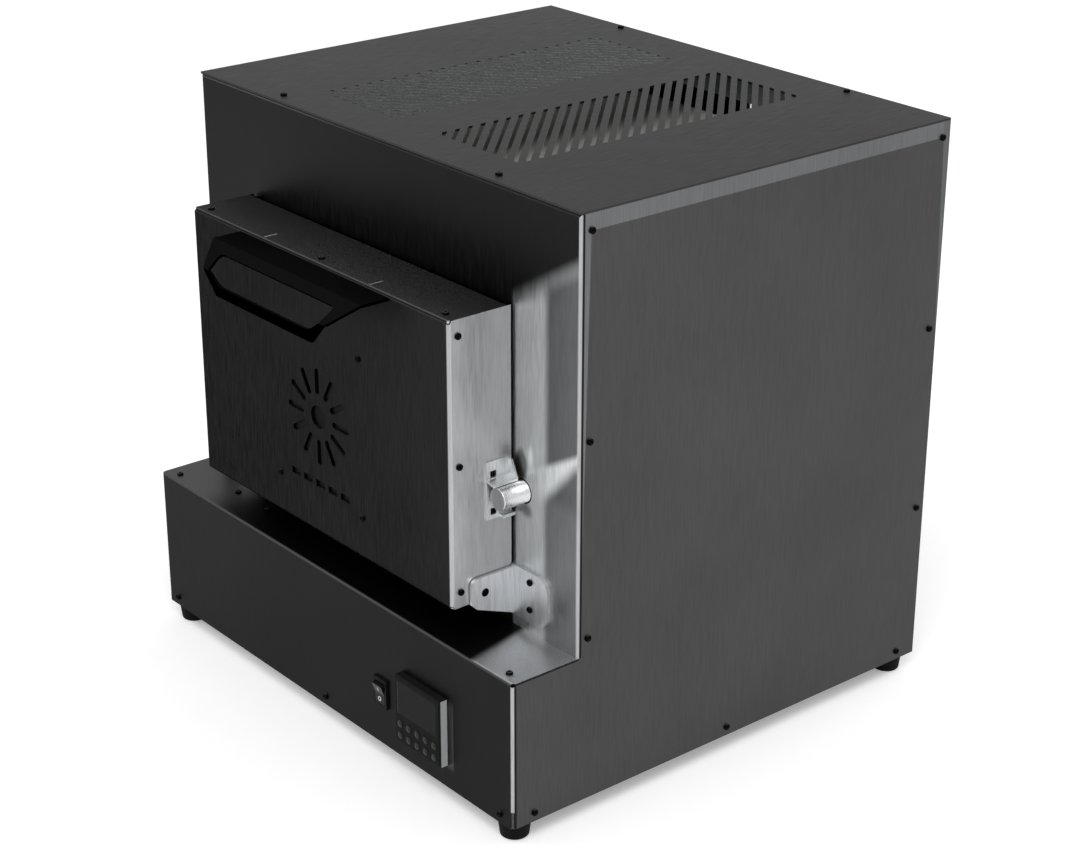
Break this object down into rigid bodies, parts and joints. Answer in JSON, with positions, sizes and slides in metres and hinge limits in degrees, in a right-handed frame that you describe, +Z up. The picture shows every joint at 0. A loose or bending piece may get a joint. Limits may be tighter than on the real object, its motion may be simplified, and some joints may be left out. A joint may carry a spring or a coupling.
{
  "type": "electric forge",
  "caption": "Bench-top electric forge with a stepped steel case, a brick chamber, a drop-down door with a folded handle, and a controller in its base.",
  "frame": {"origin": "centre of the part's box at its lowest level, which is the tips of the feet", "axes": "+X to the right as seen by the user, +Y to the back, +Z up"},
  "size_m": [0.4082, 0.4066, 0.4066],
  "materials": {
    "dark_steel": "brushed stainless sheet that reads dark grey",
    "bright_steel": "brushed stainless, bright",
    "turned_steel": "turned, satin",
    "zinc_steel": "zinc-plated sheet",
    "black_coating": "black powder coat or blacking",
    "fire_brick": "soft insulating brick, matt and porous",
    "fibre": "white ceramic fibre",
    "fibre_board": "rigid ceramic-fibre board",
    "kiln_shelf": "dense kiln shelf",
    "element_alloy": "oxidised resistance alloy",
    "porcelain": "white porcelain",
    "bare_aluminium": "extruded, bare",
    "black_plastic": "fine moulded texture",
    "gloss_black": "polished",
    "ivory_plastic": "moulded",
    "smoked_window": "smoked, polished",
    "key_plastic": "moulded",
    "black_rubber": "moulded rubber"
  },
  "bodies": {
    "case": {"base_pan": "zinc_steel", "side_panel_right": "dark_steel", "side_panel_left": "dark_steel", "base_front_cover": "dark_steel", "front_panel": "dark_steel", "top_cover": "dark_steel", "back_panel": "dark_steel", "post_front_right": "zinc_steel", "post_front_left": "zinc_steel", "post_rear_right": "zinc_steel", "post_rear_left": "zinc_steel", "top_rails": "zinc_steel", "step_rails": "zinc_steel", "chamber_deck": "zinc_steel", "brick_floor": "fire_brick", "brick_roof": "fire_brick", "brick_left": "fire_brick", "brick_right": "fire_brick", "brick_rear": "fire_brick", "fibre_blanket": "fibre", "hearth_plate": "kiln_shelf", "heating_element_left": "element_alloy", "heating_element_right": "element_alloy", "element_terminals": "porcelain", "thermocouple": "porcelain", "relay_heat_sink": "bare_aluminium", "solid_state_relay": "black_plastic", "terminal_block": "ivory_plastic", "power_inlet": "black_plastic", "feet": "black_rubber", "switch_housing": "black_plastic", "controller_body": "black_plastic", "controller_window": "smoked_window", "hinge_bracket_right": "bright_steel", "hinge_bracket_left": "bright_steel", "catch_stud": "turned_steel", "case_screws": "black_coating", "hinge_screws": "black_coating", "foot_screws": "black_coating"},
    "door": {"door_shell": "dark_steel", "door_liner": "zinc_steel", "door_slab": "fibre_board", "door_gussets": "bright_steel", "door_handle": "black_coating", "pattern_plate": "black_coating", "catch_clip": "bright_steel", "door_pivots": "black_coating", "door_screws": "black_coating", "pattern_screws": "black_coating"},
    "rocker": {"rocker": "gloss_black"},
    "key_1": {"key_1": "key_plastic"},
    "key_2": {"key_2": "key_plastic"},
    "key_3": {"key_3": "key_plastic"},
    "key_4": {"key_4": "key_plastic"},
    "key_5": {"key_5": "key_plastic"},
    "key_6": {"key_6": "key_plastic"},
    "key_7": {"key_7": "key_plastic"},
    "key_8": {"key_8": "key_plastic"},
    "key_9": {"key_9": "key_plastic"},
    "key_10": {"key_10": "key_plastic"}
  },
  "joints": [
    {"name": "door_hinge", "type": "hinge", "parent": "case", "child": "door", "pos_m": [0, -0.1405, 0.1474], "axis": [1, 0, 0], "range_deg": [0, 90]},
    {"name": "rocker_tilt", "type": "hinge", "parent": "case", "child": "rocker", "pos_m": [0.066, -0.1653, 0.052], "axis": [-1, 0, 0], "range_deg": [0, 20]},
    {"name": "key_1_press", "type": "slide", "parent": "case", "child": "key_1", "axis": [0, 1, 0], "range_m": [0, 0.0006], "stiffness_N_per_m": 200},
    {"name": "key_2_press", "type": "slide", "parent": "case", "child": "key_2", "axis": [0, 1, 0], "range_m": [0, 0.0006], "stiffness_N_per_m": 200},
    {"name": "key_3_press", "type": "slide", "parent": "case", "child": "key_3", "axis": [0, 1, 0], "range_m": [0, 0.0006], "stiffness_N_per_m": 200},
    {"name": "key_4_press", "type": "slide", "parent": "case", "child": "key_4", "axis": [0, 1, 0], "range_m": [0, 0.0006], "stiffness_N_per_m": 200},
    {"name": "key_5_press", "type": "slide", "parent": "case", "child": "key_5", "axis": [0, 1, 0], "range_m": [0, 0.0006], "stiffness_N_per_m": 200},
    {"name": "key_6_press", "type": "slide", "parent": "case", "child": "key_6", "axis": [0, 1, 0], "range_m": [0, 0.0006], "stiffness_N_per_m": 200},
    {"name": "key_7_press", "type": "slide", "parent": "case", "child": "key_7", "axis": [0, 1, 0], "range_m": [0, 0.0006], "stiffness_N_per_m": 200},
    {"name": "key_8_press", "type": "slide", "parent": "case", "child": "key_8", "axis": [0, 1, 0], "range_m": [0, 0.0006], "stiffness_N_per_m": 200},
    {"name": "key_9_press", "type": "slide", "parent": "case", "child": "key_9", "axis": [0, 1, 0], "range_m": [0, 0.0006], "stiffness_N_per_m": 200},
    {"name": "key_10_press", "type": "slide", "parent": "case", "child": "key_10", "axis": [0, 1, 0], "range_m": [0, 0.0006], "stiffness_N_per_m": 200}
  ]
}
